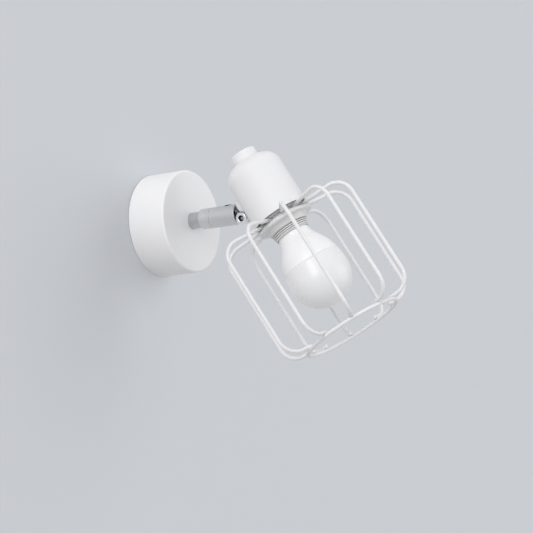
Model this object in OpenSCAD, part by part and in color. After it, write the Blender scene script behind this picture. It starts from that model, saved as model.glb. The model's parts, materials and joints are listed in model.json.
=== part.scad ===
// Cage wall light: a round canopy, a swivelling arm with a tilting knuckle, and a lamp head
// of a cup, a lampholder, a ten-wire cage and a small globe lamp. Sizes in millimetres.
// The wall is the plane y = 0 with the canopy's centre at the origin. The light stands out
// along -y and z is up. The pieces are drawn in the pose given by arm_turn and head_tilt.

/* [Canopy] */
// Outer diameter of the canopy
canopy_d = 75; // [70:1:100]
// Depth of the canopy from the wall to its face
canopy_h = 30; // [27:0.5:40]
// Thickness of the canopy's sheet
canopy_wall = 1.2; // [0.8:0.1:1.6]
// Radius of the canopy's front edge
canopy_edge_r = 1.6; // [1:0.1:4]

/* [Wall bracket] */
// Width of the steel strap
strap_w = 18; // [17:0.5:22]
// Thickness of the steel strap
strap_t = 1.5; // [1:0.1:2]
// Height of the strap's raised middle above the wall
strap_rise = 9; // [8:0.5:11]
// Length of the raised middle
plateau_l = 37; // [34:1:39]
// Room between the strap's corners and the canopy's inside
bracket_gap = 2; // [1:0.1:3]
// Width of a wall screw slot
slot_w = 4.5; // [4:0.1:5]
// End-to-end length of a wall screw slot
slot_l = 9; // [7:0.5:10]
// Metal left between a slot and the strap's end
slot_margin = 2.6; // [2:0.1:3]

/* [Terminals] */
// Distance between two poles of the terminal block
pole_pitch = 9; // [9:0.5:10]
// Depth of the terminal block across its poles
block_w = 14; // [13:0.5:15]
// Height of the terminal block above the strap
block_h = 12; // [10:0.5:13]
// Diameter of the earth screw
earth_d = 4; // [3.5:0.1:5]

/* [Threaded tube and nuts] */
// Outside diameter of the threaded tubes
nipple_d = 10; // [9:0.1:10.5]
// Bore of the threaded tubes, for the leads
nipple_bore = 7; // [6:0.1:7.5]
// Hexagon nuts, across the flats
nut_flats = 14; // [13:0.5:15]
// Thickness of the hexagon nuts
nut_h = 2.5; // [2:0.1:3]

/* [Arm] */
// Diameter of the turned collar at the canopy
collar_d = 12; // [12:0.1:14]
// Length of the collar outside the canopy
collar_l = 9.5; // [8:0.5:16]
// Diameter of the arm
arm_d = 15; // [15:0.1:16]
// Length of the fixed sleeve that holds the swivel
sleeve_l = 9; // [9:0.1:11]
// Length of the arm's turning tube
tube_l = 21.5; // [20:0.5:40]
// Wall of the turning tube
tube_wall = 1; // [0.8:0.1:1.2]
// Depth of the chamfer on the arm's ends
arm_chamfer = 0.5; // [0.2:0.1:0.6]
// Diameter of the swivel's journal
journal_d = 9.5; // [9:0.1:9.6]
// Thread diameter of the tube's set screw
set_d = 5; // [4:0.1:5.2]
// Distance from the set screw to the tube's end
set_back = 7.6; // [7:0.1:8.5]

/* [Knuckle] */
// Distance from the tube's end to the pivot
pivot_reach = 5.3; // [5.2:0.1:7]
// How far the pivot lies below the arm's centre line
pivot_drop = 3.25; // [3:0.05:3.3]
// Radius of the knuckle's round ends
lug_r = 4.2; // [4.1:0.05:4.3]
// Thickness of one fork lug
lug_t = 2.1; // [1.8:0.1:2.4]
// Thickness of the head's tongue between the lugs
tongue_t = 3.1; // [2.8:0.1:3.6]
// Thickness of a friction washer
friction_t = 0.5; // [0.3:0.1:0.7]
// Diameter of the pivot screw
pivot_d = 5; // [4:0.1:5]
// Diameter of the pivot screw's head
pivot_head_d = 8.5; // [8:0.1:8.8]
// Height of the pivot screw's head
pivot_head_h = 2.4; // [2:0.1:3]
// Distance from the pivot to the cup's wall
cup_gap = 4.7; // [4.7:0.1:6]
// How far the stem lies above the pivot, along the cup
stem_rise = 7.2; // [7.1:0.1:8]
// Diameter of the stem's flange and saddle washer
flange_d = 13; // [12.6:0.1:13.4]
// Thickness of the stem's flange
flange_t = 2.2; // [2:0.1:2.4]

/* [Pose] */
// Turn of the arm about its own centre line
arm_turn = 17.2; // [0:0.1:30]
// Tilt of the head out from the wall
head_tilt = 26.7; // [0:0.1:34]

/* [Cup] */
// Outer diameter of the cup
cup_d = 42; // [40:0.5:46]
// Height of the cup from its rim to its flat top
cup_h = 45.9; // [44:0.1:54]
// Thickness of the cup's sheet
cup_wall = 1; // [0.8:0.1:1.2]
// Radius of the cup's rounded shoulder
cup_edge_r = 11; // [8:0.5:12]
// How far the rim lies below the pivot
rim_drop = 14.9; // [14:0.1:16]
// Diameter of the round nut on top of the cup
cap_d = 19.4; // [17:0.2:22]
// Height of the round nut on top of the cup
cap_h = 7.3; // [6:0.1:10]

/* [Lampholder] */
// Outer diameter of the lampholder's threaded skirt
skirt_d = 28; // [28:0.1:29]
// Wall of the skirt
skirt_wall = 1.6; // [1.4:0.1:1.7]
// Diameter of the skirt's shoulder that the cage is clamped against
shoulder_d = 35; // [34:0.5:38]
// How far the skirt shows below the clamping ring
skirt_out = 5.3; // [4:0.1:6]
// How far the skirt's lower end draws in
skirt_lead = 1; // [0.4:0.1:1.1]
// Gap between the cup's rim and the clamping ring
ring_gap = 4.6; // [4.6:0.1:6]
// Diameter of the clamping ring
ring_d = 42.6; // [40:0.2:46]
// Height of the clamping ring
ring_h = 6.4; // [5.8:0.1:8]
// Thickness of the clamping ring's flange
ring_flange = 2.5; // [2.2:0.1:3]
// Radius of the ring's waist under its flange
waist_r = 16.9; // [16:0.1:18]
// Height of the lampholder's domed cover
cover_h = 28; // [26:0.5:29]

/* [Cage] */
// Outer diameter of the cage
cage_d = 108; // [100:1:120]
// Height of the cage
cage_h = 96.3; // [92:0.1:110]
// Diameter of the wire
wire_d = 2.5; // [2:0.1:2.9]
// Bend radius at the wires' corners, on the wire's centre line
bend_r = 13; // [8:0.5:15]
// Centre-line diameter of the ring round the cage's mouth
mouth_d = 72.5; // [68:0.5:76]
// Diameter of the flat ring that the wires are welded to
plate_d = 36; // [35:0.5:38]
// Thickness of that flat ring
plate_t = 1.3; // [1:0.1:1.5]
// Turn of the cage round the cup's centre line, as it was clamped
cage_turn = -1.8; // [-5:0.1:5]

/* [Lamp] */
// Diameter of the globe
lamp_d = 45.5; // [44:0.5:46]
// Length of the lamp from its contact to its tip
lamp_l = 76.7; // [75:0.1:82]
// Height of the opal dome from the lamp's tip to its seam
dome_h = 34.2; // [32:0.1:35]
// Wall of the lamp's housing and dome
lamp_wall = 1.2; // [1:0.1:1.6]
// Diameter of the lamp's neck
neck_d = 23.9; // [23:0.1:24.2]
// Outside diameter of the lamp's screw base
base_d = 13.7; // [13.2:0.1:13.8]
// Length of the screw base with its contact
base_l = 16.6; // [16:0.1:18]

/* [Hidden] */
$fn = 64;
thread_gap = 0.05;       // radial clearance between two threaded pieces
running_gap = 0.08;      // radial clearance of a journal in its bore
side_gap = 0.05;         // clearance beside the tongue
seam_gap = 0.2;          // open seam where the arm turns
body_gap = 0.3;          // clearance between pieces that move past each other

// Canopy and bracket
canopy_r = canopy_d / 2;
canopy_ri = canopy_r - canopy_wall;
nipple_r = nipple_d / 2;
bore_r = nipple_bore / 2;
nut_r = nut_flats / 2 / cos(30);
strap_half = sqrt(pow(canopy_ri - bracket_gap, 2) - pow(strap_w / 2, 2));
slot_x = strap_half - slot_margin - slot_l / 2;
nipple_tail = 1.5;       // thread that stands out behind the rear nut
nipple_grip = 6;         // thread that enters the collar
nipple_z0 = strap_rise - strap_t - nut_h - nipple_tail;
nipple_z1 = canopy_h + nipple_grip;
tab_gap = 2;             // room between the strap's edge and the terminal block
block_y = -strap_w / 2 - tab_gap - block_w / 2;
block_l = 3 * pole_pitch;
tab_w = 18;
screw_x = pole_pitch / 2;
pole_r = 2;              // terminal screw holes
block_screw_r = 1.5;
block_head_r = 2.2;
block_sink = 6;          // depth of the fixing screw's head in the block
block_seat = strap_rise + block_h - block_sink;
earth_r = earth_d / 2;
earth_head_r = 1.75 * earth_r;
earth_y = strap_w / 2 + earth_head_r + 2;
earth_tab_w = 2 * earth_head_r + 4;
washer_t = 0.8;
pole_depth = 5;          // depth of a terminal screw's hole
pole_sink = 1.2;         // how far a terminal screw lies below the block's top
lead_r = 1.7;            // holes that the leads enter
lead_z = 3.2;            // height of those holes above the strap
driver_slot = [5, 0.7, 1.6]; // a screwdriver's slot: length, width and depth
head_t = 2.4;            // height of the small screws' heads
screw_tail = 2;          // how far the small screws stand out behind the strap

// Arm, measured outward from the wall
sleeve_z0 = canopy_h + collar_l;
sleeve_z1 = sleeve_z0 + sleeve_l;
tube_z0 = sleeve_z1 + seam_gap;
tube_z1 = tube_z0 + tube_l;
arm_r = arm_d / 2;
tube_ri = arm_r - tube_wall;
journal_r = journal_d / 2;
sleeve_lip = 2.3;        // front wall of the sleeve, where the journal turns
collar_r = collar_d / 2;
spigot_r = collar_r - 0.25;
spigot_l = 2.8;
cavity_z1 = sleeve_z1 - sleeve_lip;
spring_t = 0.8;
ring_nut_h = 2;
ring_nut_z1 = cavity_z1 - spring_t - side_gap;
journal_z0 = ring_nut_z1 - ring_nut_h - 0.2;
swivel_bore_r = journal_r - 1.5;
stop_r = 0.75;           // swivel stop pin
stop_at = (journal_r + tube_ri) / 2;
stop_h = 1.6;            // length of the stop's run in front of the sleeve
stop_lug_a = 14;         // angle that the fork's stop lug covers
shank_r = tube_ri - thread_gap;
shank_z1 = tube_z1 - 4.2;
pivot_z = tube_z1 + pivot_reach;
slot_clear = 0.5;        // room behind the tongue's round end
slot_half = tongue_t / 2 + side_gap + friction_t;
lug_x = slot_half + lug_t;
set_z = tube_z1 - set_back;
set_r = set_d / 2;
set_floor = 0.35;        // depth of the set screw's seat in the shank
pivot_r = pivot_d / 2;
pivot_nut_flats = 1.6 * pivot_d;
pivot_nut_h = 0.54 * pivot_d;
relief_r = max(pivot_nut_flats / 2 / cos(30), pivot_head_d / 2) + body_gap;

// Head, measured from the pivot with z up along the cup; the cup's centre is at y = -axis_y
cup_r = cup_d / 2;
cup_ri = cup_r - cup_wall;
axis_y = cup_r + cup_gap;
rim_z = -rim_drop;
cup_z1 = rim_z + cup_h;
flange_r = flange_d / 2;
saddle_t = 0.5;          // outer saddle washer at its middle
flange_y = cup_gap - saddle_t;
saddle_r = flange_r + 0.5;
saddle_y = axis_y - sqrt(pow(cup_ri, 2) - pow(saddle_r, 2)) + 0.25;
stud_end = saddle_y + nut_h + 1;
ring_z = rim_z - ring_gap;
plate_z = ring_z + plate_t;
wire_r = wire_d / 2;
wire_z = plate_z + wire_r;
shoulder_z = wire_z + wire_r;
shoulder_t = 1.5;
ring_foot = 0.9;         // wall of the clamping ring at its lower end
skirt_r = skirt_d / 2;
skirt_ri = skirt_r - skirt_wall;
skirt_z0 = ring_z - ring_h - skirt_out;
skirt_z1 = shoulder_z + shoulder_t + 5.3;
lead_h = 3.7;            // length of the skirt's drawn-in end
core_t = 4;
core_z = skirt_z1 - core_t;
cover_r = skirt_r - 0.6;
cover_z1 = skirt_z1 + cover_h;
cover_boss_r = nipple_r + 2.5;
cover_wall = 1.6;
holder_grip = 5;         // thread that enters the cover's boss
cap_grip = 5.3;          // thread that enters the cap

// Lamp
contact_h = 1;
lamp_z1 = core_z - contact_h;
lamp_z0 = lamp_z1 - lamp_l;
lamp_r = lamp_d / 2;
neck_r = neck_d / 2;
neck_z = lamp_z1 - base_l;
neck_lip = 0.9;          // short straight run at the top of the neck
base_r = base_d / 2;
base_wall = 0.4;
belly_z = lamp_z0 + lamp_r;
seam_z = lamp_z0 + dome_h;
tip_contact_r = 2.2;
insulator_h = 2.5;
shell_wall = 0.5;
barrel_wall = 1.2;
shell_ri = base_r + 0.2;
shell_l = base_l - insulator_h - contact_h - 0.6;
board_t = 1.6;
driver_w = 14;           // the driver board stands on the LED board
driver_h = 16;
capacitor_r = 2.5;
capacitor_l = 7;

// Cage
wire_count = 10;
cage_r = cage_d / 2 - wire_r;
mouth_r = mouth_d / 2;
mouth_z = shoulder_z - cage_h + wire_r;
foot_z = mouth_z + wire_d;
plate_ri = skirt_r + 0.25;
wire_r0 = skirt_r + 1.5;     // where a wire starts, over the flat ring
wire_r1 = mouth_r - wire_r - 1.5; // where a wire ends, just inside the mouth ring

// ---- Placing

// Children drawn round the z axis stand out from the wall, with their y axis upward
module from_wall() rotate([90, 0, 0]) children();

// The same, turned with the arm
module on_arm() rotate([0, -arm_turn, 0]) from_wall() children();

// Children drawn about the pivot, with z up along the cup and the cup at -y
module on_head() rotate([0, -arm_turn, 0]) translate([0, -pivot_z, -pivot_drop])
    rotate([-head_tilt, 0, 0]) children();

// Children drawn round the cup's centre line
module on_cup_axis() on_head() translate([0, -axis_y, 0]) children();

// A bore or a bar along x, y or z, from a to b
module rod_x(r, a, b) translate([a, 0, 0]) rotate([0, 90, 0]) cylinder(r = r, h = b - a);
module rod_y(r, a, b) translate([0, b, 0]) rotate([90, 0, 0]) cylinder(r = r, h = b - a);
module rod_z(r, a, b) translate([0, 0, a]) cylinder(r = r, h = b - a);

module tube_piece(ro, ri, a, b) difference() {
    rod_z(ro, a, b);
    rod_z(ri, a - 1, b + 1);
}

module hexagon(r, a, b) translate([0, 0, a]) cylinder(r = r, h = b - a, $fn = 6);

module hex_nut(r, hole, a, b) difference() {
    hexagon(r, a, b);
    rod_z(hole, a - 1, b + 1);
}

// Half section of a drum with a rounded top edge, from z = a to z = b
module drum_section(r, edge, a, b) intersection() {
    translate([0, a]) square([r, b - a]);
    union() {
        translate([0, a]) square([r, b - a - edge]);
        translate([0, a]) square([r - edge, b - a]);
        translate([r - edge, b - edge]) circle(edge);
    }
}

// ---- Wall side

module strap_profile() polygon([
    [-strap_half, 0], [-plateau_l / 2 + strap_t, 0], [-plateau_l / 2 + strap_t, strap_rise - strap_t],
    [plateau_l / 2 - strap_t, strap_rise - strap_t], [plateau_l / 2 - strap_t, 0], [strap_half, 0],
    [strap_half, strap_t], [plateau_l / 2, strap_t], [plateau_l / 2, strap_rise],
    [-plateau_l / 2, strap_rise], [-plateau_l / 2, strap_t], [-strap_half, strap_t]]);

module wall_slot() linear_extrude(4 * strap_t, center = true) {
    square([slot_l - slot_w, slot_w], center = true);
    for (side = [-1, 1]) translate([side * (slot_l - slot_w) / 2, 0]) circle(d = slot_w);
}

module bracket_tab(width, y0, y1) translate([-width / 2, y0, strap_rise - strap_t])
    cube([width, y1 - y0, strap_t]);

module wall_bracket() color("silver") from_wall() difference() {
    union() {
        rotate([90, 0, 0]) linear_extrude(strap_w, center = true) strap_profile();
        bracket_tab(tab_w, block_y - block_w / 2 + 1, 0);
        bracket_tab(earth_tab_w, 0, earth_y + earth_head_r + 1.5);
    }
    for (side = [-1, 1]) translate([side * slot_x, 0, 0]) wall_slot();
    rod_z(nipple_r + thread_gap, 0, strap_rise + 1);
    translate([screw_x, block_y, 0]) rod_z(block_screw_r, 0, strap_rise + 1);
    translate([0, earth_y, 0]) rod_z(earth_r, 0, strap_rise + 1);
}

module threaded_tube() color("goldenrod") from_wall()
    tube_piece(nipple_r, bore_r, nipple_z0, nipple_z1);

module tube_nuts() color("gainsboro") from_wall() for (z = [strap_rise - strap_t - nut_h, strap_rise])
    hex_nut(nut_r, nipple_r + thread_gap, z, z + nut_h);

module canopy() color("white") from_wall() rotate_extrude() difference() {
    drum_section(canopy_r, canopy_edge_r, 0, canopy_h);
    drum_section(canopy_ri, max(canopy_edge_r - canopy_wall, 0.2), -1, canopy_h - canopy_wall);
    translate([0, canopy_h - 2 * canopy_wall]) square([nipple_r + 2 * thread_gap, 4 * canopy_wall]);
}

module pole_places() for (pole = [-1:1], row = [-1, 1])
    translate([pole * pole_pitch, block_y + row * block_w / 4, 0]) children();

module terminal_block() color("ivory") from_wall() difference() {
    translate([-block_l / 2, block_y - block_w / 2, strap_rise]) cube([block_l, block_w, block_h]);
    pole_places() rod_z(pole_r, strap_rise + block_h - pole_depth, strap_rise + block_h + 1);
    for (pole = [-1:1]) translate([pole * pole_pitch, block_y, strap_rise + lead_z])
        rod_y(lead_r, -block_w, block_w);
    translate([screw_x, block_y, 0]) {
        rod_z(block_screw_r + thread_gap, 0, strap_rise + block_h);
        rod_z(block_head_r + thread_gap, block_seat, strap_rise + block_h + 1);
    }
}

module terminal_screws() color("gold") from_wall() pole_places() difference() {
    rod_z(pole_r - thread_gap, strap_rise + block_h - pole_depth, strap_rise + block_h - pole_sink);
    translate([0, 0, strap_rise + block_h - pole_sink]) cube(driver_slot, center = true);
}

module block_screw() color("silver") from_wall() translate([screw_x, block_y, 0]) difference() {
    union() {
        rod_z(block_screw_r, strap_rise - strap_t - screw_tail, block_seat + 1);
        rod_z(block_head_r, block_seat, block_seat + head_t);
    }
    translate([0, 0, block_seat + head_t]) cube(driver_slot, center = true);
}

module earth_screw() color("gold") from_wall() translate([0, earth_y, 0]) difference() {
    union() {
        rod_z(earth_r, strap_rise - strap_t - screw_tail, strap_rise + 1);
        rod_z(earth_head_r + 0.5, strap_rise, strap_rise + washer_t);
        rod_z(earth_head_r, strap_rise + washer_t, strap_rise + washer_t + head_t);
    }
    translate([0, 0, strap_rise + washer_t + head_t]) for (turn = [0, 90]) rotate(turn)
        cube(driver_slot, center = true);
}

// ---- Collar and swivel

module collar_nut() color("darkgray") from_wall() difference() {
    union() {
        rod_z(collar_r, canopy_h, sleeve_z0);
        rod_z(spigot_r, canopy_h, sleeve_z0 + spigot_l);
    }
    rod_z(nipple_r + thread_gap, canopy_h - 1, nipple_z1 + 1);
    rod_z(bore_r, canopy_h, sleeve_z0 + spigot_l + 1);
}

module arm_blank(a, b) translate([0, 0, a]) {
    cylinder(r1 = arm_r - arm_chamfer, r2 = arm_r, h = arm_chamfer);
    rod_z(arm_r, arm_chamfer, b - a - arm_chamfer);
    translate([0, 0, b - a - arm_chamfer])
        cylinder(r1 = arm_r, r2 = arm_r - arm_chamfer, h = arm_chamfer);
}

module stop_place() rotate(-90) translate([stop_at, 0, 0]) children();

module swivel_sleeve() color("silver") from_wall() difference() {
    arm_blank(sleeve_z0, sleeve_z1);
    rod_z(spigot_r + thread_gap, sleeve_z0 - 1, cavity_z1);
    rod_z(journal_r + running_gap, cavity_z1 - 1, sleeve_z1 + 1);
    stop_place() rod_z(stop_r, cavity_z1 + 0.3, sleeve_z1 + 1);
}

module swivel_stop_pin() color("gray") from_wall() stop_place()
    rod_z(stop_r, cavity_z1 + 0.3, tube_z0 + stop_h - body_gap);

module arm_tube() color("silver") on_arm() difference() {
    arm_blank(tube_z0, tube_z1);
    rod_z(tube_ri, tube_z0 - 1, tube_z1 + 1);
    translate([0, 0, set_z]) rod_y(set_r, 0, arm_r + 1);
}

module fork_side_view() {
    translate([shank_z1 - 1, -pivot_drop - lug_r]) square([pivot_z - shank_z1 + 1, 2 * lug_r]);
    translate([pivot_z, -pivot_drop]) circle(lug_r);
}

// The fork's lugs as a bar along x, cut to the side view, which is drawn as (z, y)
module lug_bar(half) rotate([0, -90, 0]) linear_extrude(2 * half, center = true) fork_side_view();

module stop_lug() intersection() {
    tube_piece(shank_r, journal_r - 0.2, tube_z0 + body_gap, tube_z0 + stop_h + 0.5);
    translate([0, 0, tube_z0]) linear_extrude(3) polygon([[0, 0],
        2 * shank_r * [sin(stop_lug_a / 2), cos(stop_lug_a / 2)],
        2 * shank_r * [-sin(stop_lug_a / 2), cos(stop_lug_a / 2)]]);
}

module knuckle_fork() color("gainsboro") on_arm() difference() {
    union() {
        rod_z(journal_r, journal_z0, tube_z0 + stop_h + 1);
        stop_lug();
        rod_z(shank_r, tube_z0 + stop_h, shank_z1);
        intersection() {
            lug_bar(lug_x);
            union() {
                rod_z(shank_r, shank_z1 - 1, tube_z1 + 1);
                rod_z(arm_r, tube_z1, pivot_z + lug_r + 1);
            }
        }
    }
    rod_z(swivel_bore_r, journal_z0 - 1, tube_z1);
    translate([-slot_half, -arm_r, pivot_z - lug_r - slot_clear])
        cube([2 * slot_half, 2 * arm_r, 3 * lug_r + slot_clear]);
    translate([0, -pivot_drop, pivot_z]) rod_x(pivot_r + thread_gap, -arm_r, arm_r);
    translate([0, 0, set_z]) rod_y(set_r, shank_r - set_floor, arm_r);
}

module swivel_ring_nut() color("gray") on_arm()
    tube_piece(spigot_r - body_gap, journal_r + thread_gap, ring_nut_z1 - ring_nut_h, ring_nut_z1);

module swivel_spring_washer() color("dimgray") on_arm()
    tube_piece(spigot_r - 2 * body_gap, journal_r + 2 * thread_gap, ring_nut_z1, cavity_z1 - side_gap);

module arm_set_screw() color("dimgray") on_arm() translate([0, 0, set_z]) difference() {
    rod_y(set_r - thread_gap, shank_r - set_floor, arm_r - 0.3);
    rotate([-90, 0, 0]) hexagon(set_r / 2, arm_r - 1, arm_r + 1);
}

module at_pivot() on_arm() translate([0, -pivot_drop, pivot_z]) children();

module pivot_screw() color("lightgray") at_pivot() difference() {
    union() {
        rod_x(pivot_r, -lug_x - 0.5, lug_x + pivot_nut_h + 0.4);
        rod_x(pivot_head_d / 2, -lug_x - pivot_head_h, -lug_x);
    }
    rotate([0, -90, 0]) hexagon(0.46 * pivot_d, lug_x + 0.3 * pivot_head_h, lug_x + pivot_head_h + 1);
}

module pivot_nut() color("lightgray") at_pivot() rotate([0, 90, 0])
    hex_nut(pivot_nut_flats / 2 / cos(30), pivot_r + thread_gap, lug_x, lug_x + pivot_nut_h);

module friction_washers() color("dimgray") at_pivot() for (side = [0, 1]) mirror([side, 0, 0])
    rotate([0, 90, 0]) tube_piece(lug_r - 0.2, pivot_r + thread_gap, slot_half - friction_t, slot_half);

// ---- Stem and cup

module knuckle_stem() color("whitesmoke") on_head() difference() {
    union() {
        rod_x(lug_r, -tongue_t / 2, tongue_t / 2);
        translate([-tongue_t / 2, -flange_y, -lug_r]) cube([tongue_t, flange_y, 2 * lug_r]);
        difference() {
            translate([0, 0, stem_rise]) rod_y(flange_r, -flange_y, flange_t - flange_y);
            for (side = [0, 1]) mirror([side, 0, 0]) rod_x(relief_r, tongue_t / 2, flange_d);
        }
        translate([0, 0, stem_rise]) rod_y(nipple_r, -stud_end, -flange_y);
    }
    rod_x(pivot_r + running_gap, -tongue_t, tongue_t);
    translate([0, 0, stem_rise]) rod_y(bore_r, -stud_end - 1, 1);
}

module saddle_washers() color("white") on_head() {
    difference() {
        translate([0, 0, stem_rise]) rod_y(flange_r, -axis_y + cup_r / 2, -flange_y);
        translate([0, -axis_y, 0]) rod_z(cup_r, rim_z, cup_z1);
        translate([0, 0, stem_rise]) rod_y(nipple_r + thread_gap, -axis_y, 0);
        rod_x(relief_r, -flange_d, flange_d);
    }
    difference() {
        intersection() {
            translate([0, 0, stem_rise]) rod_y(saddle_r, -saddle_y, 0);
            translate([0, -axis_y, 0]) rod_z(cup_ri, rim_z, cup_z1);
        }
        translate([0, 0, stem_rise]) rod_y(nipple_r + thread_gap, -axis_y, 0);
    }
}

module stem_nut() color("gainsboro") on_head() translate([0, 0, stem_rise]) rotate([90, 0, 0])
    rotate(30) hex_nut(nut_r, nipple_r + thread_gap, saddle_y, saddle_y + nut_h);

module cup() color("white") difference() {
    on_cup_axis() rotate_extrude() difference() {
        drum_section(cup_r, cup_edge_r, rim_z, cup_z1);
        drum_section(cup_ri, cup_edge_r - cup_wall, rim_z - 1, cup_z1 - cup_wall);
        translate([0, cup_z1 - 2 * cup_wall]) square([nipple_r + thread_gap, 4 * cup_wall]);
    }
    on_head() translate([0, 0, stem_rise]) rod_y(nipple_r + thread_gap, -cup_gap - cup_r / 2, 0);
}

module cup_cap() color("white") on_cup_axis() difference() {
    rotate_extrude() drum_section(cap_d / 2, 0.8, cup_z1, cup_z1 + cap_h);
    rod_z(nipple_r + thread_gap, cup_z1 - 1, cup_z1 + cap_grip + 0.2);
}

// ---- Lampholder

module holder_tube() color("goldenrod") on_cup_axis()
    tube_piece(nipple_r, bore_r, cover_z1 - holder_grip, cup_z1 + cap_grip);

module holder_nut() color("gainsboro") on_cup_axis()
    hex_nut(nut_r, nipple_r + thread_gap, cup_z1 - cup_wall - nut_h, cup_z1 - cup_wall);

module cover_section(r, boss_r, a, b) {
    drum_section(r, r - boss_r, a, b - holder_grip);
    translate([0, a]) square([boss_r, b - a]);
}

module holder_cover() color("whitesmoke") on_cup_axis() rotate_extrude() difference() {
    cover_section(cover_r, cover_boss_r, skirt_z1, cover_z1);
    drum_section(cover_r - cover_wall, cover_r - cover_boss_r, skirt_z1 - 1,
        cover_z1 - holder_grip - cover_wall);
    translate([0, cover_z1 - holder_grip - 0.2]) square([nipple_r + thread_gap, 2 * holder_grip]);
    translate([0, skirt_z1]) square([bore_r, cover_h]);
}

module holder_core() color("ivory") on_cup_axis() difference() {
    union() {
        rod_z(skirt_ri - thread_gap, core_z, skirt_z1);
        rod_z(shell_ri + shell_wall + barrel_wall, core_z - shell_l, core_z + 1);
    }
    rod_z(shell_ri + shell_wall, core_z - shell_l - 1, core_z);
}

module holder_skirt() color("whitesmoke") on_cup_axis() difference() {
    union() {
        rod_z(skirt_r, skirt_z0, skirt_z1);
        rod_z(shoulder_d / 2, shoulder_z, shoulder_z + shoulder_t);
    }
    rod_z(skirt_ri, skirt_z0 - 1, skirt_z1 + 1);
    difference() {
        rod_z(skirt_r + 1, skirt_z0 - 1, skirt_z0 + lead_h);
        translate([0, 0, skirt_z0]) cylinder(r1 = skirt_r - skirt_lead, r2 = skirt_r, h = lead_h);
    }
}

module holder_thread_shell() color("gold") on_cup_axis()
    tube_piece(shell_ri + shell_wall, shell_ri, core_z - shell_l, core_z);

module holder_contact() color("gold") on_cup_axis() rod_z(tip_contact_r, core_z - contact_h, core_z);

// A round-edged flange over a waist that narrows to the skirt
module shade_ring() color("lightgray") on_cup_axis() rotate_extrude() difference() {
    union() {
        translate([0, ring_z - ring_flange]) square([ring_d / 2 - ring_flange / 2, ring_flange]);
        translate([ring_d / 2 - ring_flange / 2, ring_z - ring_flange / 2]) circle(ring_flange / 2);
        polygon([[0, ring_z - ring_h], [skirt_r + ring_foot, ring_z - ring_h],
            [waist_r, ring_z - ring_flange], [waist_r, ring_z - ring_flange / 2],
            [0, ring_z - ring_flange / 2]]);
    }
    translate([0, ring_z - ring_h - 1]) square([skirt_r + thread_gap, ring_h + 2]);
}

// ---- Cage

module cage_top_ring() color("white") on_cup_axis() tube_piece(plate_d / 2, plate_ri, ring_z, plate_z);

// One bend of a wire: a quarter turn from +y to +x, in the x-y plane
module quarter_bend() rotate_extrude(angle = 90) translate([bend_r, 0]) circle(wire_r);

// A wire in the x-z plane: out over the flat ring, down the side and in to the mouth ring
module wire_shape() {
    translate([0, 0, wire_z]) rod_x(wire_r, wire_r0, cage_r - bend_r);
    translate([cage_r - bend_r, 0, wire_z - bend_r]) rotate([90, 0, 0]) quarter_bend();
    translate([cage_r, 0, 0]) rod_z(wire_r, foot_z + bend_r, wire_z - bend_r);
    translate([cage_r - bend_r, 0, foot_z + bend_r]) rotate([90, 90, 0]) quarter_bend();
    translate([0, 0, foot_z]) rod_x(wire_r, wire_r1, cage_r - bend_r);
}

// Wires are counted from the one on the pivot screw's side
module cage_wire(i) color("white") on_cup_axis()
    rotate(180 + cage_turn + (i - 1) * 360 / wire_count) wire_shape();

module cage_bottom_ring() color("white") on_cup_axis() translate([0, 0, mouth_z])
    rotate_extrude() translate([mouth_r, 0]) circle(wire_r);

// ---- Lamp

// Point at t on a cubic curve through four handles
function curve(p, t) = pow(1 - t, 3) * p[0] + 3 * t * pow(1 - t, 2) * p[1]
    + 3 * t * t * (1 - t) * p[2] + pow(t, 3) * p[3];

// Outline of the lamp from its neck to its widest point
neck_curve = [[neck_r, neck_z - neck_lip], [neck_r + 0.8, neck_z - neck_lip - 10.8],
    [lamp_r, belly_z + 1.105 * lamp_r], [lamp_r, belly_z]];
curve_steps = 24;
globe_steps = 12;
outline = [for (i = [0:curve_steps]) curve(neck_curve, i / curve_steps)];
// The LED board fits the inside of the housing
led_r = lookup(seam_z + board_t, [for (p = outline) [p[1], p[0]]]) - lamp_wall - thread_gap;
function globe_point(a) = [lamp_r * cos(a), belly_z - lamp_r * sin(a)];
globe = [for (i = [1:globe_steps]) globe_point(90 * i / globe_steps)];

// Half section of the whole glass and housing, drawn in by w
module lamp_section(w) polygon(concat([[0, neck_z - w], [neck_r - w, neck_z - w]],
    [for (p = outline) [p[0] - w, p[1]]],
    [for (p = globe) [max(p[0], 0), p[1] - belly_z] * (lamp_r - w) / lamp_r + [0, belly_z]]));

module lamp_half(a, b) rotate_extrude() intersection() {
    difference() {
        lamp_section(0);
        lamp_section(lamp_wall);
    }
    translate([0, a]) square([lamp_r + 1, b - a]);
}

module lamp_housing() color("white") on_cup_axis() {
    difference() {
        union() {
            lamp_half(seam_z, neck_z);
            rod_z(base_r - base_wall - thread_gap, neck_z - 0.5, lamp_z1 - contact_h - insulator_h);
        }
        rod_z(base_r - base_wall - lamp_wall, neck_z - 5, lamp_z1);
    }
}

module lamp_dome() color([0.93, 0.93, 0.94]) on_cup_axis() lamp_half(lamp_z0 - 1, seam_z);

module lamp_base() color("silver") on_cup_axis()
    tube_piece(base_r, base_r - base_wall, neck_z, lamp_z1 - contact_h - insulator_h);

module lamp_insulator() color("black") on_cup_axis() translate([0, 0, lamp_z1 - contact_h - insulator_h])
    cylinder(r1 = base_r - 0.4, r2 = tip_contact_r + 1.2, h = insulator_h);

module lamp_contact() color("silver") on_cup_axis() rod_z(tip_contact_r, lamp_z1 - contact_h, lamp_z1);

module lamp_led_board() color("gainsboro") on_cup_axis()
    rod_z(led_r, seam_z, seam_z + board_t);

module lamp_driver_board() color("green") on_cup_axis() {
    translate([-driver_w / 2, -board_t / 2, seam_z + board_t]) cube([driver_w, board_t, driver_h]);
    translate([0, capacitor_r, seam_z + board_t + capacitor_r])
        cylinder(r = capacitor_r, h = capacitor_l);
}

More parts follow.
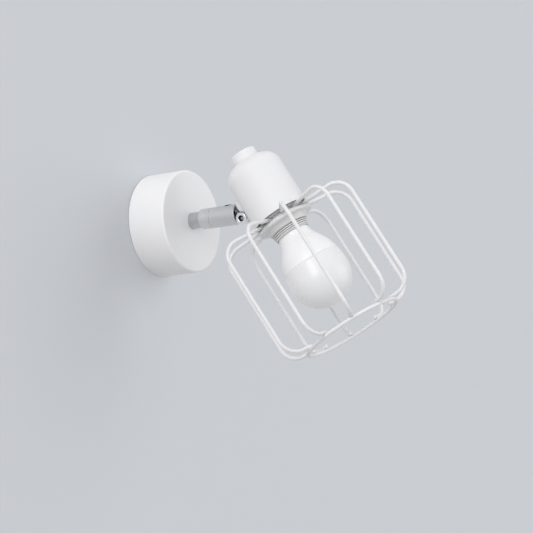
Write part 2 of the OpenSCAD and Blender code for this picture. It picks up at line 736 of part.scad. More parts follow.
wall_bracket();
threaded_tube();
tube_nuts();
canopy();
terminal_block();
terminal_screws();
block_screw();
earth_screw();
collar_nut();
swivel_sleeve();
swivel_stop_pin();
arm_tube();
knuckle_fork();
swivel_ring_nut();
swivel_spring_washer();
arm_set_screw();
pivot_screw();
pivot_nut();
friction_washers();
knuckle_stem();
saddle_washers();
stem_nut();
cup();
cup_cap();
holder_tube();
holder_nut();
holder_cover();
holder_core();
holder_skirt();
holder_thread_shell();
holder_contact();
shade_ring();
cage_top_ring();
cage_wire(1);  // cage_wire_01
cage_wire(2);  // cage_wire_02
cage_wire(3);  // cage_wire_03
cage_wire(4);  // cage_wire_04
cage_wire(5);  // cage_wire_05
cage_wire(6);  // cage_wire_06
cage_wire(7);  // cage_wire_07
cage_wire(8);  // cage_wire_08
cage_wire(9);  // cage_wire_09
cage_wire(10);  // cage_wire_10
cage_bottom_ring();
lamp_housing();
lamp_dome();
lamp_base();
lamp_insulator();
lamp_contact();
lamp_led_board();
lamp_driver_board();
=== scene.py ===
import json
import math

import bmesh
import bpy
import numpy as np
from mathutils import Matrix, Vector


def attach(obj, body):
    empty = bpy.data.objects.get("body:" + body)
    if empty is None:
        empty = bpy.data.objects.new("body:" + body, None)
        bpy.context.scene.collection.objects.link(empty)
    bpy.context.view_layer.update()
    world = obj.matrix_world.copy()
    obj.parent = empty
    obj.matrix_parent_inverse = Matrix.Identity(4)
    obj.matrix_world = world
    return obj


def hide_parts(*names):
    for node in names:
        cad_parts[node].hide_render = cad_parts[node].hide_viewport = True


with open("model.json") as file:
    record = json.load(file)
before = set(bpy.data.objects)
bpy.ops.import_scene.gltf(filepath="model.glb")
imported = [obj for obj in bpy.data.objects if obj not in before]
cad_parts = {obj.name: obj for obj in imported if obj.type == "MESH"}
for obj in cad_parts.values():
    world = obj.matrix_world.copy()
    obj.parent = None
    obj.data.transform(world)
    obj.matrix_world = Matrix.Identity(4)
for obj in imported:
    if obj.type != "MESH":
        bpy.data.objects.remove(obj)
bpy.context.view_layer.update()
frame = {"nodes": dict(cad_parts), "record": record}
nodes = frame["nodes"]
bodyOf = {n: b for b, group in frame["record"]["behaviour"]["bodies"].items() for n in group}
print("frame loaded:", len(nodes), "nodes")


# ---- places: 4x4 matrices in millimetres, as the light stands in its rest pose

def turnX(degrees):  # y to z
    c, s = math.cos(math.radians(degrees)), math.sin(math.radians(degrees))
    return np.array([[1, 0, 0, 0], [0, c, -s, 0], [0, s, c, 0], [0, 0, 0, 1.0]])


def turnY(degrees):  # z to x
    c, s = math.cos(math.radians(degrees)), math.sin(math.radians(degrees))
    return np.array([[c, 0, s, 0], [0, 1, 0, 0], [-s, 0, c, 0], [0, 0, 0, 1.0]])


def turnZ(degrees):  # x to y
    c, s = math.cos(math.radians(degrees)), math.sin(math.radians(degrees))
    return np.array([[c, -s, 0, 0], [s, c, 0, 0], [0, 0, 1, 0], [0, 0, 0, 1.0]])


def shift(x, y, z):
    m = np.eye(4)
    m[:3, 3] = x, y, z
    return m


pose = {"armTurn": 17.2, "headTilt": 26.7, "pivotOut": 75.5, "pivotDrop": 3.25, "cupOff": 25.7}
wallFrame = turnX(90)  # local z stands out from the wall, local y is up
armFrame = turnY(-pose["armTurn"]) @ wallFrame
headFrame = (turnY(-pose["armTurn"]) @ shift(0, -pose["pivotOut"], -pose["pivotDrop"])
             @ turnX(-pose["headTilt"]))
cupFrame = headFrame @ shift(0, -pose["cupOff"], 0)


# ---- surfaces

holdShare = 0.2  # of a corner's radius, from its arc to the loop that keeps the flat beside it
weld = 2e-6  # metres, under which two points are one


def filleted(corners, radii, steps, closed=True):
    # a polygon with round corners: each corner becomes an arc whose centre lies on the bisector,
    # between the two points where a circle of that radius touches the sides
    p = np.asarray(corners, float)
    r = np.broadcast_to(np.asarray(radii, float), len(p)).copy()
    toPrev, toNext = np.roll(p, 1, 0) - p, np.roll(p, -1, 0) - p
    if not closed:
        r[[0, -1]] = 0
        toPrev[0], toNext[-1] = -toNext[0], -toPrev[-1]
    toPrev /= np.linalg.norm(toPrev, axis=1)[:, None]
    toNext /= np.linalg.norm(toNext, axis=1)[:, None]
    cosA = np.clip((toPrev * toNext).sum(1), -0.999999, 0.999999)
    half = np.arccos(cosA) / 2
    bisector = toPrev + toNext
    length = np.linalg.norm(bisector, axis=1)[:, None]
    bisector = np.divide(bisector, length, out=np.zeros_like(bisector), where=length > 1e-9)
    reach = (r / np.tan(half))[:, None]
    centre = p + bisector * (r / np.sin(half))[:, None]
    start, end = p + toPrev * reach, p + toNext * reach
    t = np.linspace(0, 1, steps)[None, :, None]
    ray = (1 - t) * (start - centre)[:, None] + t * (end - centre)[:, None]
    size = np.linalg.norm(ray, axis=2, keepdims=True)
    ray = np.divide(ray, size, out=np.zeros_like(ray), where=size > 1e-9)
    arc = centre[:, None] + ray * r[:, None, None]
    hold = (holdShare * r)[:, None]
    before, after = start + toPrev * hold, end + toNext * hold
    arc = np.concatenate([before[:, None], arc, after[:, None]], 1)
    line = arc.reshape(-1, p.shape[1])
    if not closed:
        line = line[steps + 1:len(line) - steps - 1]
    return line


def closedMesh(name, points, faces):
    # doubles become one point and the faces look outwards
    mesh = bpy.data.meshes.new(name)
    mesh.from_pydata(points.tolist(), [], faces.tolist())
    bm = bmesh.new()
    bm.from_mesh(mesh)
    bmesh.ops.remove_doubles(bm, verts=bm.verts, dist=weld)
    bmesh.ops.recalc_face_normals(bm, faces=bm.faces)
    bm.to_mesh(mesh)
    bm.free()
    return mesh


def finishMesh(name, points, faces, node, material, sharp):
    return addPiece(name, closedMesh(name, points, faces), node, material, sharp)


def addPiece(name, mesh, node, material, sharp):
    mesh.shade_smooth()
    mesh.set_sharp_from_angle(angle=math.radians(sharp))
    mesh.materials.clear()
    mesh.materials.append(material)
    piece = bpy.data.objects.new(name, mesh)
    bpy.context.scene.collection.objects.link(piece)
    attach(piece, bodyOf[node])
    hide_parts(node)
    return piece


def gridFaces(rows, cols, wrapRows=True):
    # quads between neighbours of a grid whose columns close on themselves
    ids = np.arange(rows * cols).reshape(rows, cols)
    below = np.roll(ids, -1, 0)
    quads = np.stack([ids, below, np.roll(below, -1, 1), np.roll(ids, -1, 1)], -1)
    return quads[:None if wrapRows else -1].reshape(-1, 4)


def inPlace(points, place):
    flat = points.reshape(-1, 3)
    return (flat @ place[:3, :3].T + place[:3, 3]) / 1000


def revolved(profile, sides):
    # every profile point (r, z) goes round the axis: x = r cos a, y = r sin a
    a = np.linspace(0, 2 * np.pi, sides, endpoint=False)[:, None]
    r, z = profile[:, 0][None], profile[:, 1][None]
    return np.stack([r * np.cos(a), r * np.sin(a), z + 0 * a], -1)


def turnedPiece(name, node, profile, place, material, sides, sharp=35):
    grid = revolved(profile, sides)
    faces = gridFaces(*grid.shape[:2])
    return finishMesh(name, inPlace(grid, place), faces, node, material, sharp)


eased = {"weld": 1e-6, "flat": 0.3, "sharp": 40, "corner": 40, "segments": 2}


def refined(node, name, material, bevel, c=eased):
    # a copy of the solid's mesh with its doubles merged, flat faces joined and edges eased
    mesh = nodes[node].data.copy()
    bm = bmesh.new()
    bm.from_mesh(mesh)
    bmesh.ops.remove_doubles(bm, verts=bm.verts, dist=c["weld"])
    bmesh.ops.dissolve_limit(bm, angle_limit=math.radians(c["flat"]), verts=bm.verts,
                             edges=bm.edges)
    bm.to_mesh(mesh)
    bm.free()
    piece = addPiece(name, mesh, node, material, c["sharp"])
    ease = piece.modifiers.new("ease", "BEVEL")
    ease.width, ease.segments = bevel / 1000, c["segments"]
    ease.limit_method, ease.angle_limit = "ANGLE", math.radians(c["corner"])
    ease.harden_normals = True
    return piece


# ---- finishes

class Signal:
    # a socket that takes arithmetic: each operator adds the Math node for it
    def __init__(self, tree, socket):
        self.tree, self.socket = tree, socket

    def math(self, operation, *values):
        node = self.tree.nodes.new("ShaderNodeMath")
        node.operation = operation
        for slot, value in zip(node.inputs, values):
            if isinstance(value, Signal):
                self.tree.links.new(value.socket, slot)
            else:
                slot.default_value = value
        return Signal(self.tree, node.outputs[0])

    def __add__(self, other):
        return self.math("ADD", self, other)

    def __sub__(self, other):
        return self.math("SUBTRACT", self, other)

    def __rsub__(self, other):
        return self.math("SUBTRACT", other, self)

    def __mul__(self, other):
        return self.math("MULTIPLY", self, other)

    __radd__, __rmul__ = __add__, __mul__


class Finish:
    # a material with one Principled shader
    def __init__(self, name, **constants):
        self.material = bpy.data.materials.new(name)
        self.material.use_nodes = True
        self.tree = self.material.node_tree
        self.shader = next(n for n in self.tree.nodes if n.type == "BSDF_PRINCIPLED")
        self.place = self.node("ShaderNodeTexCoord", output="Object")
        for key, value in constants.items():
            self.put(key, value)

    def put(self, key, value):
        socket = self.shader.inputs[key.replace("_", " ")]
        if isinstance(value, Signal):
            self.tree.links.new(value.socket, socket)
        else:
            socket.default_value = value

    def node(self, kind, settings=None, sockets=None, output=0):
        made = self.tree.nodes.new(kind)
        for key, value in (settings or {}).items():
            if key == "stops":
                ramp = made.color_ramp.elements
                while len(ramp) < len(value):
                    ramp.new(1.0)
                for stop, (position, colour) in zip(ramp, value):
                    stop.position, stop.color = position, colour
            else:
                setattr(made, key, value)
        for key, value in (sockets or {}).items():
            if isinstance(value, Signal):
                self.tree.links.new(value.socket, made.inputs[key])
            else:
                made.inputs[key].default_value = value
        return Signal(self.tree, made.outputs[output])

    def noise(self, scale, detail, rough=0.5, stretch=None):
        where = self.place
        if stretch:
            where = self.node("ShaderNodeMapping", None, {"Vector": where, "Scale": stretch})
        return self.node("ShaderNodeTexNoise", None, {"Vector": where, "Scale": scale,
                         "Detail": detail, "Roughness": rough})

    def blend(self, factor, low, high):
        return self.node("ShaderNodeMix", {"data_type": "RGBA"},
                         {0: factor, 6: (*low, 1), 7: (*high, 1)}, output=2)

    def bump(self, height, strength, distance):
        self.put("Normal", self.node("ShaderNodeBump", None, {
            "Height": height, "Strength": strength, "Distance": distance}))


def band(finish, signal, low, high):  # stretches low..high of a signal to 0..1
    return finish.node("ShaderNodeMapRange", {"clamp": True},
                       {"Value": signal, "From Min": low, "From Max": high})


def darker(tone, share):
    return tuple(share * v for v in tone)


lacquer = {"ior": 1.48, "shade": 0.965, "cloudScale": 28, "cloudBand": (0.35, 0.7),
           "cloud": 0.8, "cloudRough": 0.10, "speckScale": 3200, "speckBand": (0.70, 0.78),
           "speck": 0.2, "speckRough": 0.06, "roughLess": 0.05, "peelScale": 1400,
           "swellScale": 260, "swell": 0.6, "peel": 0.05, "height": 0.0004}


def satinWhite(name, tone, rough, c=lacquer):
    # powder lacquer: an orange peel about 0.7 mm across, faint clouding, a dust of tiny specks
    f = Finish(name, IOR=c["ior"])
    cloud = f.noise(c["cloudScale"], 4)
    speck = band(f, f.noise(c["speckScale"], 1), *c["speckBand"])
    stain = band(f, cloud, *c["cloudBand"]) * c["cloud"] + speck * c["speck"]
    f.put("Base_Color", f.blend(stain, tone, darker(tone, c["shade"])))
    f.put("Roughness", cloud * c["cloudRough"] + speck * c["speckRough"]
          + (rough - c["roughLess"]))
    swell = f.noise(c["swellScale"], 2) * c["swell"]
    f.bump(f.noise(c["peelScale"], 2) + swell, c["peel"], c["height"])
    return f.material


turned = {"lines": 2600, "across": 90, "markBand": (0.3, 0.75), "mark": 0.7, "markRough": 0.14,
          "wearScale": 55, "wear": 0.3, "wearRough": 0.08, "shade": 0.86, "roughLess": 0.10,
          "height": 0.00005}


def turnedMetal(name, tone, rough, depth=0.10, c=turned):
    # tool marks run round the arm: noise drawn out across the axis and packed tight along it
    f = Finish(name, Metallic=1.0)
    marks = f.noise(1.0, 3, 0.6, stretch=(c["across"], c["lines"], c["across"]))
    wear = f.noise(c["wearScale"], 4)
    stain = band(f, marks, *c["markBand"]) * c["mark"] + wear * c["wear"]
    f.put("Base_Color", f.blend(stain, tone, darker(tone, c["shade"])))
    f.put("Roughness", marks * c["markRough"] + wear * c["wearRough"]
          + (rough - c["roughLess"]))
    f.bump(marks, depth, c["height"])
    return f.material


polished = {"shade": 0.93, "hazeScale": 120, "hazeBand": (0.45, 0.8), "hazeRough": 0.10,
            "rippleScale": 900, "ripple": 0.02, "height": 0.0001}


def polishedMetal(name, tone, rough, c=polished):
    # bright plating: mirror-like, with a faint haze where hands have been
    f = Finish(name, Metallic=1.0)
    haze = f.noise(c["hazeScale"], 5)
    f.put("Base_Color", f.blend(haze, tone, darker(tone, c["shade"])))
    f.put("Roughness", band(f, haze, *c["hazeBand"]) * c["hazeRough"] + rough)
    f.bump(f.noise(c["rippleScale"], 2), c["ripple"], c["height"])
    return f.material


def pivotScrewMetal(name, tone, c):
    # bright plating with painted shade on the hex socket's walls, a painted glint on the socket's
    # floor and a little dust: the squared distance from the screw's own axis is |P - point|^2 -
    # ((P - point) . axis)^2
    f = Finish(name, Metallic=1.0)
    away = f.node("ShaderNodeVectorMath", {"operation": "SUBTRACT"},
                  {0: f.place, 1: Vector(c["point"])})
    along = f.node("ShaderNodeVectorMath", {"operation": "DOT_PRODUCT"},
                   {0: away, 1: Vector(c["axis"])}, "Value")
    reach = f.node("ShaderNodeVectorMath", {"operation": "LENGTH"}, {0: away}, "Value")
    off = (reach * reach - along * along) * 1e6
    wall = band(f, off, (c["socket"] - c["wallSoft"]) ** 2, c["socket"] ** 2)
    floor = band(f, off, c["floor"] ** 2, (c["floor"] + c["floorSoft"]) ** 2)
    # inside the socket the colour goes to the dark tone as painted shade, except for a painted
    # glint at the socket's floor
    paintedLightAndDust = wall + (1 - floor) * c["glint"] + f.noise(300, 3) * c["dust"]
    f.put("Base_Color", f.blend(paintedLightAndDust, c["dark"], tone))
    f.put("Roughness", c["rough"] - wall * c["shine"] + f.noise(120, 4) * c["hazeRough"])
    return f.material


plated = {"grainScale": 420.0, "roll": (60, 60, 1500), "grain": 0.5, "rolled": 0.5,
          "shade": 0.78, "grainRough": 0.12, "rollRough": 0.1, "roughLess": 0.1, "bump": 0.08,
          "height": 0.0001}


def platedSteel(name, tone, rough, c=plated):
    # zinc: soft cloudy spangle and shallow rolling lines
    f = Finish(name, Metallic=1.0)
    grains = f.node("ShaderNodeTexVoronoi", None, {"Vector": f.place, "Scale": c["grainScale"]},
                    "Color")
    grey = f.node("ShaderNodeRGBToBW", None, {0: grains})
    roll = f.noise(1.0, 3, 0.6, stretch=c["roll"])
    stain = grey * c["grain"] + roll * c["rolled"]
    f.put("Base_Color", f.blend(stain, tone, darker(tone, c["shade"])))
    f.put("Roughness", grey * c["grainRough"] + roll * c["rollRough"]
          + (rough - c["roughLess"]))
    f.bump(roll, c["bump"], c["height"])
    return f.material


# the dark tone serves both the random tint where the plastic flowed and the painted shade in
# thread grooves
moulded = {"ior": 1.5, "coatRough": 0.12, "flowScale": 46, "flow": 0.06, "flowRough": 0.12,
           "fineRough": 0.08, "roughLess": 0.10, "soil": (0.05, 0.048, 0.04),
           "height": 0.0001}


def mouldedPlastic(name, tone, rough, grain=2600, depth=0.10, coat=0.0, grooveShade=0.0, sheen=0.0,
                   c=moulded):
    # spark-eroded mould grain, with slow changes of sheen where the plastic flowed; where the
    # piece carries a groove attribute, its grooves are darkened as painted shade
    f = Finish(name, IOR=c["ior"], Coat_Weight=coat, Coat_Roughness=c["coatRough"],
               Sheen_Weight=sheen)
    flow = f.noise(c["flowScale"], 3)
    fine = f.noise(grain, 2)
    dark = flow * c["flow"]
    # the groove attribute darkens the thread's grooves as painted shade
    if grooveShade:
        groove = f.node("ShaderNodeAttribute", {"attribute_name": "groove"}, None, "Fac")
        dark = dark + groove * grooveShade
    f.put("Base_Color", f.blend(dark, tone, c["soil"]))
    f.put("Roughness", flow * c["flowRough"] + fine * c["fineRough"] + (rough - c["roughLess"]))
    f.bump(fine, depth, c["height"])
    return f.material


board = {"ior": 1.5, "coat": 0.4, "runScale": 260.0, "gap": 0.05, "run": 0.8,
         "mottleScale": 70, "mottle": 0.2, "low": (0.015, 0.13, 0.05),
         "high": (0.05, 0.26, 0.10), "rough": 0.45, "runShine": 0.12, "bump": 0.2,
         "height": 0.0001}


def circuitBoard(name, c=board):
    # solder mask with straight copper runs seen through it
    f = Finish(name, IOR=c["ior"], Coat_Weight=c["coat"])
    runs = f.node("ShaderNodeTexBrick", None, {"Vector": f.place, "Scale": c["runScale"],
                  "Mortar Size": c["gap"]}, "Fac")
    mask = runs * c["run"] + f.noise(c["mottleScale"], 2) * c["mottle"]
    f.put("Base_Color", f.blend(mask, c["low"], c["high"]))
    f.put("Roughness", c["rough"] - runs * c["runShine"])
    f.bump(runs, c["bump"], c["height"])
    return f.material


# canopy is the lacquer's white made lighter, as painted light on the canopy
tones = {"lacquer": (0.83, 0.83, 0.845), "canopy": (0.90, 0.90, 0.915),
         "wire": (0.825, 0.825, 0.845), "nickel": (0.77, 0.77, 0.77),
         "collar": (0.60, 0.605, 0.615), "chrome": (0.88, 0.885, 0.89),
         "paintedLightChrome": (0.97, 0.97, 0.97), "zinc": (0.60, 0.61, 0.63),
         "darkSteel": (0.055, 0.055, 0.06), "brass": (0.74, 0.55, 0.25),
         "terminal": (0.80, 0.79, 0.73), "washer": (0.20, 0.20, 0.21),
         "holder": (0.80, 0.80, 0.79), "skirt": (0.82, 0.82, 0.81),
         "ring": (0.75, 0.75, 0.752), "lamp": (0.95, 0.95, 0.96), "opal": (0.88, 0.88, 0.89),
         "lampMetal": (0.62, 0.62, 0.62), "black": (0.02, 0.02, 0.022),
         "aluminium": (0.74, 0.75, 0.76)}
# dark is the tone of the painted shade in the screw's socket; the glint value is a painted
# highlight on the socket's floor
pivotAxis = {"point": (armFrame @ [0, -pose["pivotDrop"], pose["pivotOut"], 1])[:3] / 1000,
             "axis": armFrame[:3, 0], "socket": 2.3, "wallSoft": 0.25, "floor": 0.8,
             "floorSoft": 0.3, "glint": 0.45, "dust": 0.03, "dark": tones["black"],
             "rough": 0.5, "shine": 0.26, "hazeRough": 0.06}

white = satinWhite("satinWhite", tones["lacquer"], 0.52)
# the canopy's lacquer is a lighter copy of the cup's, as painted light where the head shades the
# canopy
canopyPaintedLightWhite = satinWhite("canopyPaintedLightWhite", tones["canopy"], 0.52)
wireWhite = satinWhite("wireWhite", tones["wire"], 0.5)
nickel = turnedMetal("satinNickel", tones["nickel"], 0.42, depth=0.5)
collarNickel = turnedMetal("collarNickel", tones["collar"], 0.30)
chrome = polishedMetal("polishedChrome", tones["chrome"], 0.07)
# the stem and pivot screw take a lighter copy of the chrome, painted light that brightens their
# reflections
stemChrome = polishedMetal("stemChrome", tones["paintedLightChrome"], 0.45)
screwChrome = pivotScrewMetal("screwChrome", tones["paintedLightChrome"], pivotAxis)
zinc = platedSteel("zincPlate", tones["zinc"], 0.32)
darkSteel = turnedMetal("blackenedSteel", tones["darkSteel"], 0.42)
brass = turnedMetal("plainBrass", tones["brass"], 0.28)
terminalPlastic = mouldedPlastic("terminalPlastic", tones["terminal"], 0.5)
washerPlastic = mouldedPlastic("washerPlastic", tones["washer"], 0.5)
holderPlastic = mouldedPlastic("holderPlastic", tones["holder"], 0.42)
# the skirt's thread grooves get painted shade
skirtPlastic = mouldedPlastic("skirtPlastic", tones["skirt"], 0.42, grooveShade=0.75)
ringPlastic = mouldedPlastic("ringPlastic", tones["ring"], 0.30, grain=1800, depth=0.05,
                             coat=0.25)
lampWhite = mouldedPlastic("lampWhite", tones["lamp"], 0.30, grain=2200, depth=0.03, coat=0.2)
lampOpal = mouldedPlastic("lampOpal", tones["opal"], 0.26, grain=1200, depth=0.01, coat=0.25,
                          sheen=0.7)
lampMetal = turnedMetal("lampNickel", tones["lampMetal"], 0.28)
blackGlass = mouldedPlastic("blackInsulator", tones["black"], 0.2, grain=900, depth=0.02,
                            coat=0.5)
ledAluminium = platedSteel("ledAluminium", tones["aluminium"], 0.38)
boardGreen = circuitBoard("boardGreen")
print("finishes made")


# ---- canopy and arm

canopy = {"radius": 37.5, "depth": 30, "wall": 1.2, "edge": 1.6, "innerEdge": 0.4,
          "hole": 5.1, "rim": 0.35, "steps": 9, "sides": 192}


def makeCanopy(c=canopy):
    # a drawn cup: the face, the round front edge, the side, a rim at the wall, and back inside
    r, d, w = c["radius"], c["depth"], c["wall"]
    profile = filleted([(c["hole"], d), (r, d), (r, 0), (r - w, 0), (r - w, d - w),
                        (c["hole"], d - w)],
                       [0, c["edge"], c["rim"], c["rim"], c["innerEdge"], 0], c["steps"])
    turnedPiece("canopyShell", "canopy", profile, wallFrame, canopyPaintedLightWhite, c["sides"])


makeCanopy()

collar = {"radius": 6, "from": 30, "to": 39.5, "spigot": 5.75, "spigotTo": 42.3, "thread": 5.05,
          "threadTo": 37, "bore": 3.5, "ease": 0.3, "spigotEase": 0.1, "steps": 5, "sides": 96}


def makeCollar(c=collar):
    # a collar with a spigot for the sleeve, bored from behind for the threaded tube
    r, e = c["radius"], c["spigotEase"]
    profile = filleted([(c["thread"], c["from"]), (r, c["from"]), (r, c["to"]),
                        (c["spigot"], c["to"]), (c["spigot"], c["spigotTo"]),
                        (c["bore"], c["spigotTo"]), (c["bore"], c["threadTo"]),
                        (c["thread"], c["threadTo"])],
                       [0, c["ease"], 0, 0, e, e, 0, 0], c["steps"])
    turnedPiece("collarTurned", "collar_nut", profile, wallFrame, collarNickel, c["sides"])


makeCollar()

sleeve = {"radius": 7.5, "from": 39.5, "to": 48.5, "chamfer": 0.5, "seam": 0.12,
          "spigotBore": 5.8, "cavityTo": 46.2, "journalBore": 4.83, "ease": 0.14,
          "seamEase": 0.04, "boreEase": 0.1, "steps": 4, "sides": 96}


def armEnd(r, at, chamfer, outwards):  # two corners of a chamfered end
    return [(r - chamfer, at), (r, at - outwards * chamfer)]


def makeSleeve(c=sleeve):
    r, e, seam, bore = c["radius"], c["ease"], c["seamEase"], c["boreEase"]
    outer = armEnd(r, c["from"], c["chamfer"], -1) + armEnd(r, c["to"], c["seam"], 1)[::-1]
    inner = [(c["journalBore"], c["to"]), (c["journalBore"], c["cavityTo"]),
             (c["spigotBore"], c["cavityTo"]), (c["spigotBore"], c["from"])]
    profile = filleted(outer + inner, [e, e, seam, seam, bore, 0, 0, bore], c["steps"])
    turnedPiece("sleeveTurned", "swivel_sleeve", profile, wallFrame, nickel, c["sides"])


makeSleeve()

armTube = {"radius": 7.5, "from": 48.7, "to": 70.2, "chamfer": 0.5, "seam": 0.12, "bore": 6.5,
           "ease": 0.14, "seamEase": 0.04, "boreEase": 0.1, "steps": 4, "sides": 96,
           "sharp": 30}
drill = {"at": 62.6, "radius": 2.5, "from": 4, "long": 5, "sides": 48}


def makeArmTube(c=armTube, d=drill):
    # a turned tube with a hole through its upper wall, where the set screw goes
    r, e, seam, bore = c["radius"], c["ease"], c["seamEase"], c["boreEase"]
    outer = armEnd(r, c["from"], c["seam"], -1) + armEnd(r, c["to"], c["chamfer"], 1)[::-1]
    profile = filleted(outer + [(c["bore"], c["to"]), (c["bore"], c["from"])],
                       [seam, seam, e, e, bore, bore], c["steps"])
    tube = turnedPiece("armTubeTurned", "arm_tube", profile, armFrame, nickel, c["sides"])
    outline = filleted([(0, 0), (d["radius"], 0), (d["radius"], d["long"]), (0, d["long"])],
                       0, 2)
    grid = revolved(outline, d["sides"])
    place = armFrame @ shift(0, d["from"], d["at"]) @ turnX(-90)
    mesh = closedMesh("drill", inPlace(grid, place), gridFaces(*grid.shape[:2]))
    cutter = bpy.data.objects.new("drill", mesh)
    bpy.context.scene.collection.objects.link(cutter)
    cut = tube.modifiers.new("drill", "BOOLEAN")
    cut.object, cut.operation, cut.solver = cutter, "DIFFERENCE", "EXACT"
    bpy.context.view_layer.update()
    drilled = bpy.data.meshes.new_from_object(
        tube.evaluated_get(bpy.context.evaluated_depsgraph_get()))
    tube.modifiers.clear()
    tube.data = drilled
    tube.data.set_sharp_from_angle(angle=math.radians(c["sharp"]))
    bpy.data.objects.remove(cutter)


makeArmTube()
print("canopy and arm made")


# ---- cup, holder and ring

cup = {"radius": 21, "wall": 1, "rim": -14.9, "top": 31, "shoulder": 11, "hole": 5.05,
       "lip": 0.35, "steps": 24, "sides": 160}


def makeCup(c=cup):
    # drawn from sheet: the shoulder keeps the wall's thickness, so its inner radius is less
    r, w = c["radius"], c["wall"]
    profile = filleted([(c["hole"], c["top"]), (r, c["top"]), (r, c["rim"]), (r - w, c["rim"]),
                        (r - w, c["top"] - w), (c["hole"], c["top"] - w)],
                       [0, c["shoulder"], c["lip"], c["lip"], c["shoulder"] - w, 0],
                       c["steps"])
    turnedPiece("cupShell", "cup", profile, cupFrame, white, c["sides"])


makeCup()

cap = {"radius": 9.7, "from": 31, "to": 38.3, "edge": 0.9, "foot": 0.2, "thread": 5.05,
       "threadTo": 36.5, "steps": 10, "sides": 96}


def makeCap(c=cap):
    r = c["radius"]
    profile = filleted([(0, c["to"]), (r, c["to"]), (r, c["from"]), (c["thread"], c["from"]),
                        (c["thread"], c["threadTo"]), (0, c["threadTo"])],
                       [0, c["edge"], c["foot"], 0, 0, 0], c["steps"])
    turnedPiece("capTurned", "cup_cap", profile, cupFrame, white, c["sides"])


makeCap()

skirt = {"radius": 14, "bore": 12.4, "from": -31.2, "to": -8.9, "shoulder": 17.5,
         "shoulderFrom": -15.7, "shoulderTo": -14.2, "lead": 1.0, "leadHigh": 3.7,
         "pitch": 1.4, "depth": 1.15, "narrow": 3, "threadTo": -16.6, "fadeIn": 0.5,
         "fadeOut": 0.8, "leadFade": 0.55, "boreSkin": 0.2, "loops": 190, "ease": 0.2,
         "sides": 160, "sharp": 50}


def markGrooves(piece, c):
    # how deep each point lies under the wall's crests, as a share of the thread's depth
    points = np.empty(3 * len(piece.data.vertices))
    piece.data.vertices.foreach_get("co", points)
    local = (points.reshape(-1, 3) * 1000 - cupFrame[:3, 3]) @ cupFrame[:3, :3]
    r, z = np.hypot(local[:, 0], local[:, 1]), local[:, 2]
    crest = c["radius"] - c["lead"] * np.clip(1 - (z - c["from"]) / c["leadHigh"], 0, 1)
    deep = np.clip((crest - r) / c["depth"], 0, 1) * (r > c["bore"] + c["boreSkin"])
    # the skirt's shader darkens the grooves by this share, as painted shade
    piece.data.attributes.new("groove", "FLOAT", "POINT").data.foreach_set("value", deep)


def makeSkirt(c=skirt):
    # the outer wall draws in by lead towards its lower end, and dips by depth times a power of
    # (1 - cos) / 2 of the height over the pitch less the turn: one thread winding up the wall,
    # which fades in at the foot, out below the shoulder, and is shallower on the lead
    r, e, n = c["radius"], c["ease"], c["loops"]
    heights = np.linspace(c["from"] + e, c["shoulderFrom"], n)
    drawn = np.clip(1 - (heights - c["from"]) / c["leadHigh"], 0, 1)
    wall = np.stack([r - c["lead"] * drawn, heights], 1)
    top = [(c["shoulder"] - e, c["shoulderFrom"]), (c["shoulder"], c["shoulderFrom"] + e),
           (c["shoulder"], c["shoulderTo"] - e), (c["shoulder"] - e, c["shoulderTo"]),
           (r, c["shoulderTo"]), (r, c["to"] - e), (r - e, c["to"]), (c["bore"], c["to"]),
           (c["bore"], c["from"] + e), (c["bore"] + e, c["from"]),
           (r - c["lead"] - e, c["from"])]
    profile = np.concatenate([wall, top])
    grid = revolved(profile, c["sides"])
    turn = np.linspace(0, 2 * np.pi, c["sides"], endpoint=False)[:, None]
    z = profile[None, :, 1]
    fade = (np.clip((z - c["from"]) / c["fadeIn"], 0, 1)
            * np.clip((c["threadTo"] - z) / c["fadeOut"], 0, 1))
    fade = fade * (1 - c["leadFade"] * np.clip(1 - (z - c["from"]) / c["leadHigh"], 0, 1))
    fade = fade * (np.arange(len(profile)) < n)[None]
    wave = 0.5 - 0.5 * np.cos(2 * np.pi * z / c["pitch"] - turn)
    dip = c["depth"] * fade * wave ** c["narrow"]
    grid[..., :2] *= (1 - dip / profile[None, :, 0])[..., None]
    piece = finishMesh("skirtThreaded", inPlace(grid, cupFrame), gridFaces(*grid.shape[:2]),
                       "holder_skirt", skirtPlastic, c["sharp"])
    markGrooves(piece, c)


makeSkirt()

ring = {"radius": 21.3, "top": -19.5, "bottom": -25.9, "bore": 14.05, "foot": 14.9,
        "flange": 2.5, "waist": 9.7, "waistAt": (24.3, -28.27), "lip": 0.25, "boreEase": 0.1,
        "edgeSteps": 15, "waistSteps": 16, "sides": 128, "sharp": 50}


def makeRing(c=ring):
    # a flange whose edge is a half circle, over a waist that is part of a circle outside it
    half, (cx, cz), bore, e = c["flange"] / 2, c["waistAt"], c["bore"], c["boreEase"]
    a = np.linspace(np.pi / 2, -np.pi / 2, c["edgeSteps"])
    edge = np.stack([c["radius"] - half + half * np.cos(a),
                     c["top"] - half + half * np.sin(a)], 1)
    heights = np.linspace(c["top"] - c["flange"], c["bottom"] + c["lip"], c["waistSteps"])
    waist = np.stack([cx - np.sqrt(c["waist"] ** 2 - (heights - cz) ** 2), heights], 1)
    foot = [(c["foot"] - c["lip"], c["bottom"]), (bore + e, c["bottom"]),
            (bore, c["bottom"] + e), (bore, c["top"] - e), (bore + e, c["top"])]
    profile = np.concatenate([edge, waist, foot])
    turnedPiece("ringMoulded", "shade_ring", profile, cupFrame, ringPlastic, c["sides"],
                c["sharp"])


makeRing()
print("cup, holder and ring made")


# ---- lamp

lamp = {"radius": 22.75, "neck": 11.95, "neckAt": -30.5, "lip": 0.9, "belly": -67.85,
        "seam": -56.4, "wall": 1.2, "groove": 0.22, "grooveWide": 0.35, "neckFlare": 0.8,
        "neckHold": 10.8, "bellyHold": 1.105, "tube": 6.4, "tubeBore": 5.25, "tubeTo": -17.4,
        "neckEase": 0.3, "halfGap": 0.03, "curveSteps": 90, "globeSteps": 60, "thin": 4,
        "sides": 160, "sharp": 50}


